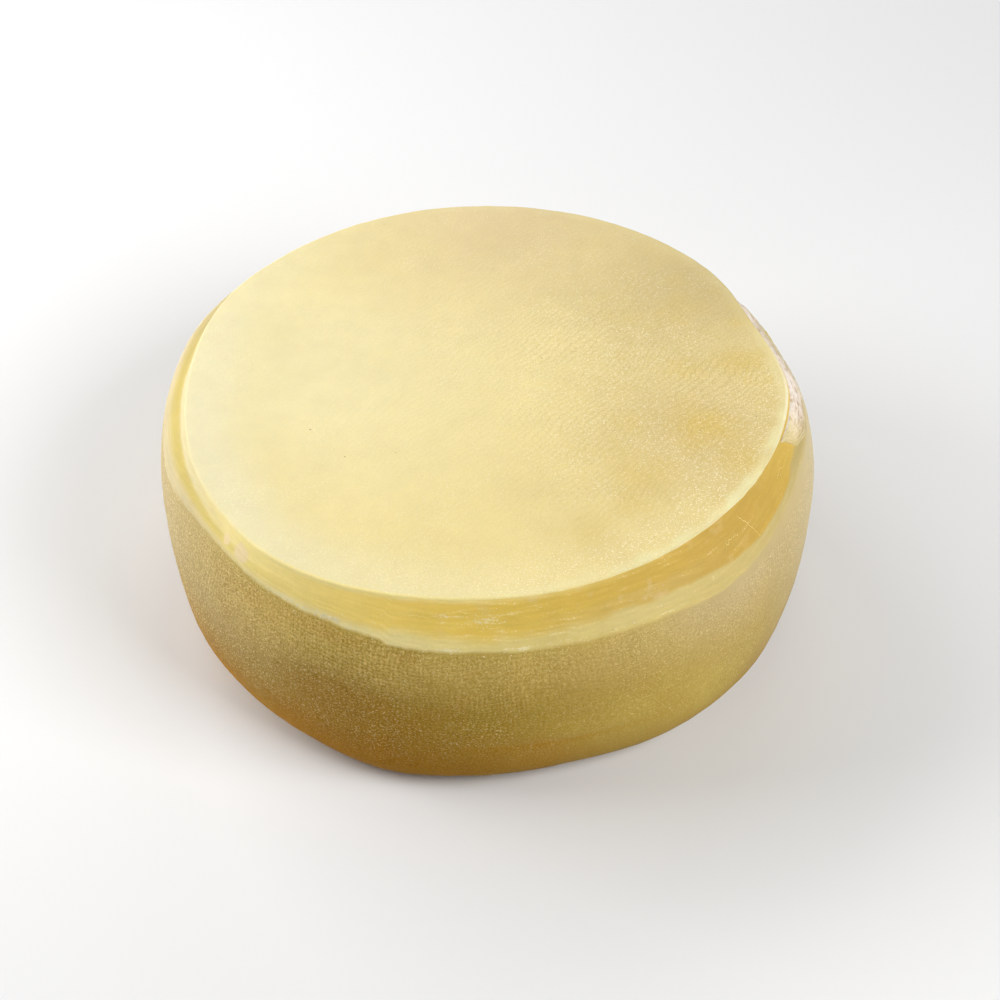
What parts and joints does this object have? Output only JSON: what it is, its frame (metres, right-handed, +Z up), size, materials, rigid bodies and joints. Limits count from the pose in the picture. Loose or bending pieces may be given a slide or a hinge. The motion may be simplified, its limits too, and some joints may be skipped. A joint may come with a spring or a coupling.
{
  "type": "cheese wheel",
  "caption": "Whole round wheel of pale hard cheese with a flat top, bulging cloth-marked side and a knife-trimmed band round the top edge.",
  "frame": {"origin": "centre of the flat base, under the middle of the outline", "axes": "+Z up along the wheel's axis, from the base to the top face; +Y towards the back of the wheel as the picture shows it, +X to its right"},
  "size_m": [0.2994, 0.3, 0.11],
  "materials": {
    "cheese": "pale yellow cheese, lightly waxy, with a fine cloth imprint"
  },
  "bodies": {
    "root": {"cheese_wheel": "cheese"}
  },
  "joints": []
}
